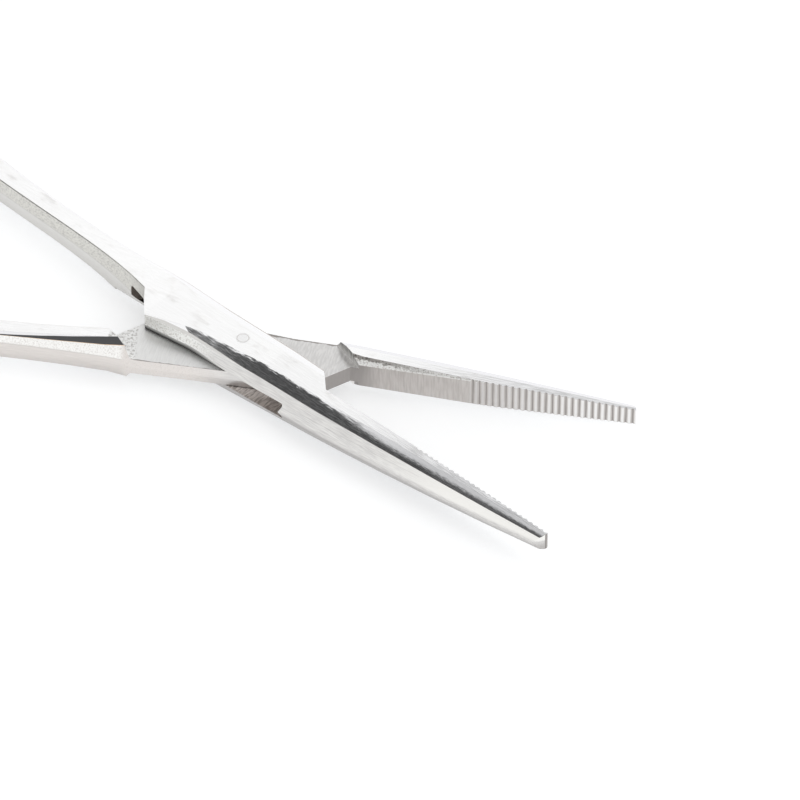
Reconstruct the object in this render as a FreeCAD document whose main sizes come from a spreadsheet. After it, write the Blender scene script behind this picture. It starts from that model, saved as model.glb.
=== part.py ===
"""Straight haemostatic forceps with a box lock, modelled at real size in millimetres.

Two forged arms cross at the lock. The box half carries a mortise, a slot milled
right through it between a top and a bottom plate. The tongue half is thinned to
a tongue that lies in that slot, and a rivet ground flush holds the two together.

Each arm is drawn lying along X, with its jaw pointing to +X and the rivet at the
origin, and is then turned by half the opening. Heights are counted from the mid
plane of the lock. The tongue half is the mirror image of the box half in Y, so
every plan outline is written once and multiplied by the arm's side.
"""
import FreeCAD, Part
import math
import os

import Sketcher
from FreeCAD import Placement, Rotation, Vector

SIZES = [
    ("opening", 28.6, "angle between the jaws as the forceps lie, degrees"),
    ("jaw_reach", 44.5, "rivet to jaw tip"),
    ("ring_reach", 95.5, "rivet to the far end of the finger rings"),
    ("lock_height", 5.9, "thickness over both plates of the box"),
    ("tongue_height", 2.0, "thickness of the tongue"),
    ("face_gap", 0.05, "running gap between the tongue and each plate"),
    ("pin_diameter", 1.6, "rivet"),
    ("pin_gap", 0.05, "radial running gap between the rivet and the tongue"),
    ("end_gap", 0.85, "gap between each shoulder and the end that swings past it"),
    ("heel_gap", 3.0, "the same gap at the mortise's rear end, left long for the mill"),
    ("end_radius", 0.4, "corners of the mortise's two ends"),
    ("box_nose", 12.4, "slanted jaw end of the box's plates, on the centre line"),
    ("box_heel", 15.3, "slanted shank end of the plates, on the centre line"),
    ("tongue_nose", 12.2, "slanted jaw end of the tongue, on the centre line"),
    ("tongue_heel", 14.0, "slanted shank end of the tongue, on the centre line"),
    ("bevel_share", 0.56, "part of the side's run that the polished bevel takes"),
    ("bevel_slope", 0.42, "fall of the polished bevel for each millimetre across"),
    ("box_swell", 0.15, "box half: bulge of the side's upper corner, part of its run"),
    ("tongue_swell", 0.55, "tongue half: the same"),
    ("swell_rise", 0.48, "height of that corner as a part of the side's height"),
    ("root_at", 13.5, "jaw root section"),
    ("box_root_width", 4.0, "box half: jaw width at the root"),
    ("box_root_height", 5.22, "box half: jaw thickness at the root"),
    ("box_root_flat", 1.5, "box half: polished flat's outer edge at the root"),
    ("box_crown", 0.36, "box half: swell of the jaw's thickness at mid length"),
    ("tongue_root_width", 3.5, "tongue half: jaw width at the root"),
    ("tongue_root_height", 4.3, "tongue half: jaw thickness at the root"),
    ("tongue_root_flat", 2.0, "tongue half: polished flat's outer edge at the root"),
    ("tongue_crown", 0.15, "tongue half: swell of the jaw's thickness at mid length"),
    ("tip_width", 1.45, "jaw width at the tip"),
    ("tip_height", 2.1, "jaw thickness at the tip"),
    ("tip_radius", 1.64, "jaw tip, rounded in plan"),
    ("tip_flat", 0.42, "polished flat's outer edge at the tip"),
    ("jaw_belly", 0.33, "swell of the jaw's outer side at mid length"),
    ("jaw_spare", 2.9, "metal past the centre line before the grip face is cut"),
    ("grip_relief", 0.03, "each grip face stands off the centre line by this"),
    ("inner_bevel_width", 0.85, "tongue half: bevel of the grip face's edges at the root"),
    ("inner_bevel_height", 0.7, "tongue half: its height there"),
    ("inner_bevel_end", 30.0, "tongue half: place where that bevel runs out"),
    ("teeth_length", 18.9, "serrated stretch of the grip face"),
    ("teeth_pitch", 0.75, "serration pitch"),
    ("teeth_width", 0.66, "width of one groove"),
    ("teeth_depth", 0.2, "depth of one groove"),
    ("front_at", 5.0, "lock section ahead of the rivet"),
    ("box_front_out", 4.25, "box half: outer side there"),
    ("tongue_front_out", 3.4, "tongue half: outer side there"),
    ("front_in", 3.7, "inner side there"),
    ("front_out_flat", 1.55, "flat's outer edge there"),
    ("front_in_flat", 1.4, "flat's inner edge there"),
    ("rear_at", 5.0, "lock section behind the rivet"),
    ("rear_out", 4.15, "outer side there"),
    ("rear_out_flat", 2.4, "flat's outer edge there"),
    ("rear_in_flat", 1.7, "flat's inner edge there"),
    ("box_rear_in", 3.85, "box half: inner side there"),
    ("tongue_rear_in", 4.06, "tongue half: inner side there"),
    ("heel_at", 11.2, "lock section at the heel"),
    ("heel_out", 4.5, "outer side there"),
    ("heel_out_flat", 4.3, "flat's outer edge there"),
    ("heel_in_flat", 2.4, "flat's inner edge there"),
    ("box_heel_in", 3.6, "box half: inner side there"),
    ("tongue_heel_in", 4.3, "tongue half: inner side there"),
    ("box_corner", 1.0, "box half: the heel corner's distance past the centre line"),
    ("tongue_corner", -0.9, "tongue half: the same, short of the centre line"),
    ("heel_relief", 2.4, "box half: the shank's near side slants in this much underneath"),
    ("box_shoulder_height", 5.55, "box half: thickness where the shank leaves the lock"),
    ("tongue_shoulder_height", 4.7, "tongue half: the same"),
    ("box_shoulder_in", 3.5, "box half: far side there"),
    ("tongue_shoulder_in", 4.22, "tongue half: far side there"),
    ("box_shoulder_edge", 0.8, "box half: outer side to polished flat there"),
    ("tongue_shoulder_edge", 1.8, "tongue half: the same"),
    ("neck_at", 20.5, "neck of the shank"),
    ("box_neck_offset", 2.15, "box half: centre of the neck from the centre line"),
    ("box_neck_height", 4.3, "box half: thickness there"),
    ("box_neck_width", 3.05, "box half: width there"),
    ("box_neck_edge", 0.5, "box half: outer side to polished flat there"),
    ("tongue_neck_offset", 2.78, "tongue half: centre of the neck from the centre line"),
    ("tongue_neck_height", 4.05, "tongue half: thickness there"),
    ("tongue_neck_width", 2.97, "tongue half: width there"),
    ("tongue_neck_edge", 1.3, "tongue half: outer side to polished flat there"),
    ("shank_at", 40.5, "middle of the shank"),
    ("shank_offset", 4.05, "centre of the shank there"),
    ("shank_height", 3.4, "thickness there"),
    ("shank_width", 2.95, "width there"),
    ("tail_at", 38.5, "ratchet arm on the shank, ahead of the rings' far end"),
    ("tail_offset", 6.5, "centre of the shank there"),
    ("tail_height", 3.5, "thickness there"),
    ("tail_width", 3.4, "width there"),
    ("out_edge", 0.5, "shank: side to polished flat on the outer edge"),
    ("in_edge", 0.22, "shank: side to polished flat on the inner edge"),
    ("hole_length", 24.0, "finger hole along the arm"),
    ("hole_width", 20.0, "finger hole across the arm"),
    ("end_share", 0.88, "radius of the ring's two ends as a part of its half width"),
    ("bar_width", 3.9, "ring bar in plan"),
    ("bar_height", 3.4, "ring bar thickness"),
    ("ring_offset", 15.6, "centre of the finger hole from the centre line"),
    ("fork_angle", 31.0, "place on the ring where the shank runs in, degrees"),
    ("fork_width", 4.4, "width of the shank there"),
    ("fork_height", 3.28, "thickness there"),
    ("rack_width", 4.8, "ratchet arm along the shank"),
    ("rack_past", 1.9, "ratchet arm's reach past the centre line"),
    ("rack_height", 1.55, "ratchet arm's thickness"),
    ("rack_corner", 1.0, "chamfer of its two outer corners"),
    ("rack_gap", 0.08, "each ratchet arm stands off the mid plane by this"),
    ("rack_lead", 0.7, "ratchet arm's end to its first tooth"),
    ("rack_pitch", 1.5, "ratchet tooth pitch"),
    ("rack_depth", 0.5, "ratchet tooth depth"),
    ("rack_teeth", 3, "ratchet teeth on each arm"),
    ("skin", 0.01, "a cutter starts this far off the face that it cuts"),
]

JAW_SECTIONS = 5
BAR_SIDES = 16
CLEAR = "(1.5 * lock_height)"
SLOT_HALF = "(tongue_height / 2 + face_gap)"
LEAST_CUT = 1e-4
QUARTER = math.pi / 2

doc = FreeCAD.newDocument("hemostat_forceps")
sheet = doc.addObject("Spreadsheet::Sheet", "Sizes")
for row, (alias, value, note) in enumerate(SIZES, start=1):
    sheet.set("A%d" % row, alias)
    sheet.set("B%d" % row, str(value))
    sheet.set("C%d" % row, note)
    sheet.setAlias("B%d" % row, alias)
doc.recompute()


def sized(text):
    """An expression in which each size's bare name is read from the sheet."""
    words = {alias for alias, _, _ in SIZES}
    out, word = [], ""
    for letter in text + " ":
        if letter.isalnum() or letter == "_":
            word += letter
            continue
        out.append("Sizes." + word if word in words else word)
        out.append(letter)
        word = ""
    return "".join(out).strip()


def number(text):
    """The present value of such an expression."""
    return float(sheet.evalExpression(sized(text)))


def datum(body, role):
    """One of the body's own origin planes or axes."""
    return next(item for item in body.Origin.OriginFeatures if item.Role == role)


def new_body(name, turn, lift):
    """An empty body turned about Z by an expression and lifted by another."""
    body = doc.addObject("PartDesign::Body", name)
    body.Label = name
    body.Placement = Placement(Vector(0, 0, number(lift)), Rotation(Vector(0, 0, 1), number(turn)))
    body.setExpression("Placement.Rotation.Angle", sized(turn))
    body.setExpression("Placement.Base.z", sized(lift))
    return body


def new_sketch(body, name, plane, offset):
    """A sketch on an origin plane, shifted along the plane's normal."""
    sketch = body.newObject("Sketcher::SketchObject", name)
    sketch.AttachmentSupport = [(datum(body, plane), "")]
    sketch.MapMode = "FlatFace"
    sketch.AttachmentOffset = Placement(Vector(0, 0, number(offset)), Rotation())
    sketch.setExpression("AttachmentOffset.Base.z", sized(offset))
    return sketch


def tie(sketch, kind, ends, text):
    """One dimension of a sketch, held to an expression."""
    index = sketch.addConstraint(Sketcher.Constraint(kind, *ends, number(text)))
    sketch.setExpression("Constraints[%d]" % index, sized(text))


def polygon(sketch, corners):
    """A closed outline with each corner tied to the origin by two sizes."""
    places = [Vector(number(x), number(y), 0) for x, y in corners]
    count = len(places)
    for k in range(count):
        sketch.addGeometry(Part.LineSegment(places[k], places[(k + 1) % count]), False)
    for k in range(count):
        sketch.addConstraint(Sketcher.Constraint("Coincident", k, 2, (k + 1) % count, 1))
    for k, (x, y) in enumerate(corners):
        tie(sketch, "DistanceX", (-1, 1, k, 1), x)
        tie(sketch, "DistanceY", (-1, 1, k, 1), y)
    return sketch


def signed(side, text):
    """A Y value for the arm's own side."""
    return text if side > 0 else "-(%s)" % text


def own(side, name):
    """The size of that name that belongs to the arm of this side."""
    return ("box_" if side > 0 else "tongue_") + name


def feature(body, kind, name):
    """A new PartDesign feature, labelled with its body's name."""
    made = body.newObject("PartDesign::" + kind, name)
    made.Label = "%s %s" % (body.Label, name)
    made.Refine = False
    return made


def section(body, side, name, at, out, inner, half, out_flat, in_flat):
    """A cross-section of the forging at one place along the arm.

    It is flat on top from out_flat to in_flat. A polished bevel, an upper corner
    and a ridge at mid height follow on each side, and the lower half mirrors it.
    """
    upper = []
    for edge, flat in ((out, out_flat), (inner, in_flat)):
        run = "(abs((%s) - (%s)))" % (edge, flat)
        low = "((%s) - %s * bevel_share * bevel_slope)" % (half, run)
        inset = "(swell_rise * (1 - bevel_share) * (1 - %s))" % own(side, "swell")
        upper.append([
            (edge, "0"),
            ("(%s) + %s * ((%s) - (%s))" % (edge, inset, flat, edge), "swell_rise * %s" % low),
            ("(%s) + bevel_share * ((%s) - (%s))" % (flat, edge, flat), low),
            (flat, half),
        ])
    top = upper[0] + upper[1][::-1]
    bottom = [(y, "-(%s)" % z) for y, z in top[1:-1]][::-1]
    corners = [(signed(side, y), z) for y, z in top + bottom]
    return polygon(new_sketch(body, name, "YZ_Plane", at), corners)


def jaw_sections(body, side):
    """Sections from the tip to the root, equally spaced, with a slight swell."""
    made = []
    for k in range(JAW_SECTIONS):
        share = "(%d / %d)" % (k, JAW_SECTIONS - 1)
        swell = "4 * %s * (1 - %s)" % (share, share)
        width, height, flat = ["tip_%s + %s * (%s - tip_%s)"
                               % (word, share, own(side, "root_" + word), word)
                               for word in ("width", "height", "flat")]
        made.append(section(body, side, "jaw_%d" % k,
                            "jaw_reach + %s * (root_at - jaw_reach)" % share,
                            "-(%s + jaw_belly * %s)" % (width, swell), "jaw_spare",
                            "(%s + %s * %s) / 2" % (height, own(side, "crown"), swell),
                            "-(%s)" % flat, "front_in_flat"))
    return made


def arm_sections(body, side):
    """Sections from the lock to the fork of the ring."""
    half = "lock_height / 2"
    corner = own(side, "corner")
    made = [
        section(body, side, "lock_front", "front_at",
                "-" + own(side, "front_out"), "front_in", half, "-front_out_flat", "front_in_flat"),
        section(body, side, "lock_rear", "-rear_at",
                "-rear_out", own(side, "rear_in"), half, "-rear_out_flat", "rear_in_flat"),
        section(body, side, "lock_heel", "-heel_at",
                "-heel_out", own(side, "heel_in"), half, "-heel_out_flat", "heel_in_flat"),
        section(body, side, "shoulder", "-(%s - %s)" % (own(side, "heel"), corner),
                "-" + corner, own(side, "shoulder_in"), own(side, "shoulder_height") + " / 2",
                "-%s + in_edge" % corner,
                "%s - %s" % (own(side, "shoulder_in"), own(side, "shoulder_edge"))),
    ]
    for at, name, edge in (("-neck_at", own(side, "neck"), own(side, "neck_edge")),
                           ("-shank_at", "shank", "out_edge"), (TAIL_X, "tail", "out_edge")):
        near = "%s_offset - %s_width / 2" % (name, name)
        far = "%s_offset + %s_width / 2" % (name, name)
        made.append(section(body, side, name, at, near, far,
                            "%s_height / 2" % name, near + " + in_edge",
                            "%s - %s" % (far, edge)))
    near = "%s - fork_width / 2" % FORK_Y
    far = "%s + fork_width / 2" % FORK_Y
    made.append(section(body, side, "fork", FORK_X, near, far, "fork_height / 2",
                        near + " + in_edge", far + " - out_edge"))
    return made


TAIL_X = "(tail_at - ring_reach)"
RING_X = "(hole_length / 2 + bar_width - ring_reach)"
SPINE_LONG = "(hole_length / 2 + bar_width / 2)"
SPINE_WIDE = "(hole_width / 2 + bar_width / 2)"
FORK_X = "(%s + %s * cos(fork_angle))" % (RING_X, SPINE_LONG)
FORK_Y = "(ring_offset - %s * sin(fork_angle))" % SPINE_WIDE
END_RADIUS = "(end_share * %s)" % SPINE_WIDE
END_X = "(%s - %s)" % (SPINE_LONG, END_RADIUS)
SIDE_RADIUS = "((%s ^ 2 + %s ^ 2 - %s ^ 2) / (2 * (%s - %s)))" % (
    END_X, SPINE_WIDE, END_RADIUS, SPINE_WIDE, END_RADIUS)
SIDE_Y = "(%s - %s)" % (SIDE_RADIUS, SPINE_WIDE)
JOIN_X = "(%s * %s / (%s - %s))" % (SIDE_RADIUS, END_X, SIDE_RADIUS, END_RADIUS)
JOIN_Y = "(%s * %s / (%s - %s))" % (END_RADIUS, SIDE_Y, SIDE_RADIUS, END_RADIUS)


def cut(body, name, sketch, length, side_type="Symmetric", upward=False, slant=False):
    """A pocket to both sides of its sketch or to one, straight or at 45 degrees in plan.

    It must remove metal.
    """
    doc.recompute()
    before = body.Shape.Volume
    pocket = feature(body, "Pocket", name)
    pocket.Profile = sketch
    pocket.Type = "Length"
    pocket.SideType = side_type
    pocket.Reversed = upward
    pocket.setExpression("Length", sized(length))
    if slant:
        pocket.UseCustomVector = True
        pocket.AlongSketchNormal = False
        pocket.Direction = Vector(1, 1, 0)
    doc.recompute()
    if not pocket.Shape.Volume < before - LEAST_CUT:
        raise RuntimeError("%s removed nothing from %s" % (name, body.Label))
    return pocket


def row(body, name, copied, axis, step, count, back):
    """Equally spaced copies of one feature along an axis of the body."""
    pattern = feature(body, "LinearPattern", name)
    pattern.Originals = [copied]
    pattern.Direction = (datum(body, axis), [""])
    pattern.Reversed = back
    pattern.Mode = "Spacing"
    pattern.setExpression("Offset", sized(step))
    pattern.setExpression("Occurrences", sized(count))
    body.Tip = pattern
    doc.recompute()
    return pattern


def mirrored(body, name, copied):
    """The same feature on the other side of the mid plane."""
    copy = feature(body, "Mirrored", name)
    copy.Originals = [copied]
    copy.MirrorPlane = (datum(body, "XY_Plane"), [""])
    body.Tip = copy
    doc.recompute()


def loft(body, kind, name, sections, straight):
    """A loft through sections, straight or smooth between them."""
    blank = feature(body, kind, name)
    blank.Profile = sections[0]
    blank.Sections = sections[1:]
    blank.Ruled = straight
    body.Tip = blank
    doc.recompute()
    return blank


def plan(body, side, name, corners, offset="0"):
    """A polygon drawn in plan, with its Y values for the arm's own side."""
    return polygon(new_sketch(body, name, "XY_Plane", offset),
                   [(x, signed(side, y)) for x, y in corners])


def forge(body, side):
    """The forged blank, and the plan cuts that square its jaw and heel."""
    jaw = jaw_sections(body, side)
    arm = arm_sections(body, side)
    nose, heel, corner = own(side, "nose"), own(side, "heel"), own(side, "corner")
    loft(body, "AdditiveLoft", "jaw_blank", jaw, False)
    loft(body, "AdditiveLoft", "lock_blank", jaw[-1:] + arm[:4], True)
    loft(body, "AdditiveLoft", "shank_blank", arm[3:], False)
    grip = [("%s + grip_relief" % nose, "-grip_relief"),
            ("jaw_reach + " + CLEAR, "-grip_relief"),
            ("jaw_reach + " + CLEAR, CLEAR), ("%s - %s" % (nose, CLEAR), CLEAR)]
    cut(body, "grip_face", plan(body, side, "grip_plan", grip), "2 * lock_height")
    slant = [("%s - %s" % (corner, heel), "-%s" % corner),
             ("%s - %s + %s" % (corner, heel, CLEAR), "-%s - %s" % (corner, CLEAR)),
             ("%s - %s" % (corner, heel), "-%s - %s" % (corner, CLEAR))]
    cut(body, "heel_face", plan(body, side, "heel_plan", slant), "2 * lock_height")
    round_tip(body, side)


def round_tip(body, side):
    """A quarter circle in plan that rounds the jaw's end over to its outer side."""
    sketch = new_sketch(body, "tip_plan", "XY_Plane", "0")
    start, radius, clear = number("jaw_reach - tip_radius"), number("tip_radius"), number(CLEAR)
    circle = Part.Circle(Vector(start, 0, 0), Vector(0, 0, 1), radius)
    quarter = (-QUARTER, 0) if side > 0 else (0, QUARTER)
    sketch.addGeometry(Part.ArcOfCircle(circle, *quarter), False)
    corners = [Vector(start, -side * radius, 0), Vector(start, -side * clear, 0),
               Vector(start + radius + clear, -side * clear, 0),
               Vector(start + radius + clear, 0, 0), Vector(start + radius, 0, 0)]
    for here, there in zip(corners, corners[1:]):
        sketch.addGeometry(Part.LineSegment(here, there), False)
    low, front = (1, 2) if side > 0 else (2, 1)
    joins = [(0, low, 1, 1), (1, 2, 2, 1), (2, 2, 3, 1), (3, 2, 4, 1), (4, 2, 0, front)]
    for join in joins:
        sketch.addConstraint(Sketcher.Constraint("Coincident", *join))
    tie(sketch, "DistanceX", (-1, 1, 0, 3), "jaw_reach - tip_radius")
    tie(sketch, "DistanceY", (-1, 1, 0, 3), "0")
    tie(sketch, "Radius", (0,), "tip_radius")
    tie(sketch, "DistanceX", (-1, 1, 3, 1), "jaw_reach + " + CLEAR)
    tie(sketch, "DistanceY", (-1, 1, 3, 1), signed(side, "-" + CLEAR))
    for line, kind in ((1, "Vertical"), (2, "Horizontal"), (3, "Vertical"), (4, "Horizontal")):
        sketch.addConstraint(Sketcher.Constraint(kind, line))
    tie(sketch, "DistanceY", (-1, 1, 4, 2), "0")
    cut(body, "round_tip", sketch, "2 * lock_height")


def band(side, nose, heel):
    """Plan of the slanted strip that the mortise or the tongue's recess takes."""
    return [("%s - %s" % (nose, CLEAR), "-" + CLEAR), ("%s + %s" % (nose, CLEAR), CLEAR),
            ("%s - %s" % (CLEAR, heel), CLEAR), ("-%s - %s" % (CLEAR, heel), "-" + CLEAR)]


def relieve_heel(body):
    """Slants the shank's near side in below the mortise, until the neck bends clear of it."""
    low = "-box_corner + heel_relief * (%s + %s) / (%s + lock_height / 2)" % (
        SLOT_HALF, CLEAR, SLOT_HALF)
    corners = [("-box_corner", SLOT_HALF), (low, "-" + CLEAR),
               ("-" + CLEAR, "-" + CLEAR), ("-" + CLEAR, SLOT_HALF)]
    sketch = new_sketch(body, "relief_side", "YZ_Plane", "box_corner - box_heel")
    cut(body, "heel_relief", polygon(sketch, corners), "neck_at - box_heel + box_corner", "One side")


def mill_mortise(body):
    """The mortise, a slot with rounded ends milled through the box at 45 degrees."""
    sketch = new_sketch(body, "mortise_side", "XZ_Plane", "0")
    front = "(tongue_nose + end_gap - end_radius)"
    rear = "(end_radius - tongue_heel - heel_gap)"
    top = "(%s - end_radius)" % SLOT_HALF
    centres = [(front, top), (rear, top), (rear, "-" + top), (front, "-" + top)]
    for k, (x, z) in enumerate(centres):
        circle = Part.Circle(Vector(number(x), number(z), 0), Vector(0, 0, 1), number("end_radius"))
        sketch.addGeometry(Part.ArcOfCircle(circle, k * QUARTER, (k + 1) * QUARTER), False)
    count = len(centres)
    for k in range(count):
        start, end = sketch.getPoint(k, 2), sketch.getPoint((k + 1) % count, 1)
        sketch.addGeometry(Part.LineSegment(start, end), False)
    for k, (x, z) in enumerate(centres):
        sketch.addConstraint(Sketcher.Constraint("Tangent", k, 2, count + k, 1))
        sketch.addConstraint(Sketcher.Constraint("Tangent", count + k, 2, (k + 1) % count, 1))
        tie(sketch, "DistanceX", (-1, 1, k, 3), x)
        tie(sketch, "DistanceY", (-1, 1, k, 3), z)
        tie(sketch, "Radius", (k,), "end_radius")
    cut(body, "mortise", sketch, "4 * " + CLEAR, slant=True)


def drill(body, diameter):
    """The rivet hole through the arm."""
    sketch = new_sketch(body, "pin_plan", "XY_Plane", "0")
    pin_circle(sketch, diameter)
    cut(body, "pin_hole", sketch, "2 * lock_height")


def pin_circle(sketch, diameter):
    """A circle about the rivet's axis."""
    sketch.addGeometry(Part.Circle(Vector(0, 0, 0), Vector(0, 0, 1), number(diameter) / 2), False)
    sketch.addConstraint(Sketcher.Constraint("Coincident", 0, 3, -1, 1))
    tie(sketch, "Diameter", (0,), diameter)


def serrate(body, side):
    """Cross serrations milled over the front of the grip face."""
    middle = "jaw_reach - teeth_pitch / 2"
    face = "-grip_relief + skin"
    groove = [("%s - teeth_width / 2" % middle, face), ("%s + teeth_width / 2" % middle, face),
              (middle, "-grip_relief - teeth_depth")]
    first = cut(body, "serration", plan(body, side, "serration_plan", groove), "2 * lock_height")
    row(body, "serrations", first, "X_Axis", "teeth_pitch",
        "round(teeth_length / teeth_pitch)", True)


def bevel_grip(body, side):
    """A bevel on the grip face's upper and lower edges that runs out towards the tip."""
    share = "((jaw_reach - inner_bevel_end) / (jaw_reach - root_at))"
    height = "(tip_height + %s * (%s - tip_height) + 4 * %s * %s * (1 - %s))" % (
        share, own(side, "root_height"), own(side, "crown"), share, share)
    ends = [("bevel_root", own(side, "nose"), own(side, "root_height") + " / 2 - inner_bevel_height"),
            ("bevel_end", "inner_bevel_end", height + " / 2 + skin")]
    made = []
    for name, at, edge in ends:
        corners = [("-2 * inner_bevel_width", edge + " + 2 * inner_bevel_height"),
                   ("inner_bevel_width", edge + " - inner_bevel_height"),
                   ("inner_bevel_width", edge + " + 2 * inner_bevel_height")]
        corners = [(signed(side, y), z) for y, z in corners]
        made.append(polygon(new_sketch(body, name, "YZ_Plane", at), corners))
    upper = loft(body, "SubtractiveLoft", "upper_bevel", made, True)
    mirrored(body, "lower_bevel", upper)


def add_ring(body, side):
    """The finger ring, an oval bar bent round four arcs, with a fifth where it starts."""
    spine = new_sketch(body, "ring_spine", "XY_Plane", "0")
    middle = Vector(number(RING_X), side * number("ring_offset"), 0)
    end_x, side_y = number(END_X), number(SIDE_Y)
    join = math.atan2(side_y, end_x)
    arcs = [(end_x, 0, END_RADIUS, 0, join),
            (0, -side_y, SIDE_RADIUS, join, math.pi - join),
            (-end_x, 0, END_RADIUS, math.pi - join, math.pi + join),
            (0, side_y, SIDE_RADIUS, math.pi + join, 2 * math.pi - join),
            (end_x, 0, END_RADIUS, 2 * math.pi - join, 2 * math.pi)]
    for x, y, radius, start, end in arcs:
        circle = Part.Circle(middle + Vector(x, y, 0), Vector(0, 0, 1), number(radius))
        spine.addGeometry(Part.ArcOfCircle(circle, start, end), False)
    joints = [(SPINE_LONG, "0"), (JOIN_X, JOIN_Y), ("-" + JOIN_X, JOIN_Y),
              ("-" + JOIN_X, "-" + JOIN_Y), (JOIN_X, "-" + JOIN_Y)]
    for k, (x, y) in enumerate(joints):
        spine.addConstraint(Sketcher.Constraint("Coincident", k - 1 if k else len(arcs) - 1, 2, k, 1))
        tie(spine, "DistanceX", (-1, 1, k, 1), "%s + %s" % (RING_X, x))
        tie(spine, "DistanceY", (-1, 1, k, 1), "%s + %s" % (signed(side, "ring_offset"), y))
        tie(spine, "Radius", (k,), arcs[k][2])
    turns = ["%d * 360 deg / %d" % (2 * k + 1, 2 * BAR_SIDES) for k in range(BAR_SIDES)]
    bar = [("%s + %s + bar_width / 2 * cos(%s)" % (RING_X, SPINE_LONG, turn),
            "bar_height / 2 * sin(%s)" % turn) for turn in turns]
    ring = feature(body, "AdditivePipe", "ring")
    ring.Profile = polygon(new_sketch(body, "ring_bar", "XZ_Plane", signed(-side, "ring_offset")), bar)
    ring.Spine = spine
    doc.recompute()


def add_rack(body, side):
    """The ratchet arm, half as thick as the shank, with its teeth on the mid plane side."""
    rear, front = TAIL_X + " - rack_width / 2", TAIL_X + " + rack_width / 2"
    outline = [(rear, "tail_offset"), (rear, "-rack_past + rack_corner"),
               (rear + " + rack_corner", "-rack_past"), (front + " - rack_corner", "-rack_past"),
               (front, "-rack_past + rack_corner"), (front, "tail_offset")]
    pad = feature(body, "Pad", "rack")
    pad.Profile = plan(body, side, "rack_plan", outline, signed(side, "rack_gap"))
    pad.Type = "Length"
    pad.Reversed = side < 0
    pad.setExpression("Length", sized("rack_height"))
    body.Tip = pad
    start = "(-rack_past + rack_lead)"
    low = "(rack_gap - skin)"
    tooth = [(start, low), (start + " + rack_pitch", low),
             (start + " + rack_pitch", "rack_gap + rack_depth")]
    tooth = [(signed(side, y), signed(side, z)) for y, z in tooth]
    side_view = new_sketch(body, "tooth_side", "YZ_Plane", TAIL_X)
    notch = cut(body, "tooth", polygon(side_view, tooth), "2 * rack_width")
    row(body, "teeth", notch, "Y_Axis", "rack_pitch", "rack_teeth", side < 0)


box_half = new_body("box_half", "-opening / 2", "lock_height / 2")
forge(box_half, 1)
relieve_heel(box_half)
mill_mortise(box_half)
drill(box_half, "pin_diameter")
serrate(box_half, 1)
add_ring(box_half, 1)
add_rack(box_half, 1)

tongue_half = new_body("tongue_half", "opening / 2", "lock_height / 2")
forge(tongue_half, -1)
bevel_grip(tongue_half, -1)
recess = plan(tongue_half, -1, "recess_plan",
              band(-1, "(box_nose + end_gap)", "(box_heel + end_gap)"), "tongue_height / 2")
upper = cut(tongue_half, "upper_recess", recess, "lock_height", "One side", upward=True)
mirrored(tongue_half, "lower_recess", upper)
drill(tongue_half, "pin_diameter + 2 * pin_gap")
serrate(tongue_half, -1)
add_ring(tongue_half, -1)
add_rack(tongue_half, -1)

pivot_pin = new_body("pivot_pin", "0", "lock_height / 2")
shaft = new_sketch(pivot_pin, "pin_circle", "XY_Plane", "0")
pin_circle(shaft, "pin_diameter")
rivet = feature(pivot_pin, "Pad", "rivet")
rivet.Profile = shaft
rivet.SideType = "Symmetric"
rivet.setExpression("Length", sized("lock_height"))

doc.recompute()
for item in doc.Objects:
    if "Invalid" in item.State or "Error" in item.State:
        raise RuntimeError("%s failed: %s" % (item.Name, item.State))
os.makedirs("parts", exist_ok=True)
for body in (box_half, tongue_half, pivot_pin):
    shape = body.Shape
    if shape.isNull() or not shape.isValid() or len(shape.Solids) != 1:
        raise RuntimeError("%s is not one valid solid" % body.Label)
    shape.exportStep("parts/%s.step" % body.Label)
    print(body.Label, "volume %.1f" % shape.Volume, "faces %d" % len(shape.Faces), shape.BoundBox)
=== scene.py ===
"""Looks of the haemostatic forceps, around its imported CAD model. Lengths are in metres."""
import math

import bmesh
import bpy
import numpy as np
from mathutils import Matrix, Vector


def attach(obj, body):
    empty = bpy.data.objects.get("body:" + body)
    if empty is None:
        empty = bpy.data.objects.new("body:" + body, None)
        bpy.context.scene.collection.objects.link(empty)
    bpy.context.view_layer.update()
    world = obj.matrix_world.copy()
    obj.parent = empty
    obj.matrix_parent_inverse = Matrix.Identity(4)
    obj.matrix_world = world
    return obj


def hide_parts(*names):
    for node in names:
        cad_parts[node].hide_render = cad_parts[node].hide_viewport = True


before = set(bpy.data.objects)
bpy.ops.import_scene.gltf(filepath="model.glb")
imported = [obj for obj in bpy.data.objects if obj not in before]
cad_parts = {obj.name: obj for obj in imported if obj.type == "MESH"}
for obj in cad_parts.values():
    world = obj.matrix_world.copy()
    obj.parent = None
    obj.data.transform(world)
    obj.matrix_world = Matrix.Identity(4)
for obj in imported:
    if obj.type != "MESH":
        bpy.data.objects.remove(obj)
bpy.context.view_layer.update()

# The box half: one forged stainless arm with its jaw, lock plates, shank and ring.
# Its broad faces and their bevels are ground and polished, the sides are left as
# the tumbling barrel leaves them, and the slot and the grip face are milled.

MM = 0.001
HALF_OPENING = math.radians(14.3)
MID_HEIGHT = 2.95 * MM
MERGE_REACH = 0.001 * MM
SAME_PLANE = math.radians(0.3)


def arm_frame(points, side):
    """Turns points or directions back by half the opening, so that the arm lies along X.

    The arm of side -1 is the mirror image, so its Y is turned round as well.
    """
    turn = side * HALF_OPENING
    x = points[:, 0] * math.cos(turn) - points[:, 1] * math.sin(turn)
    y = points[:, 0] * math.sin(turn) + points[:, 1] * math.cos(turn)
    return np.column_stack([x, side * y, points[:, 2]])


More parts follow.
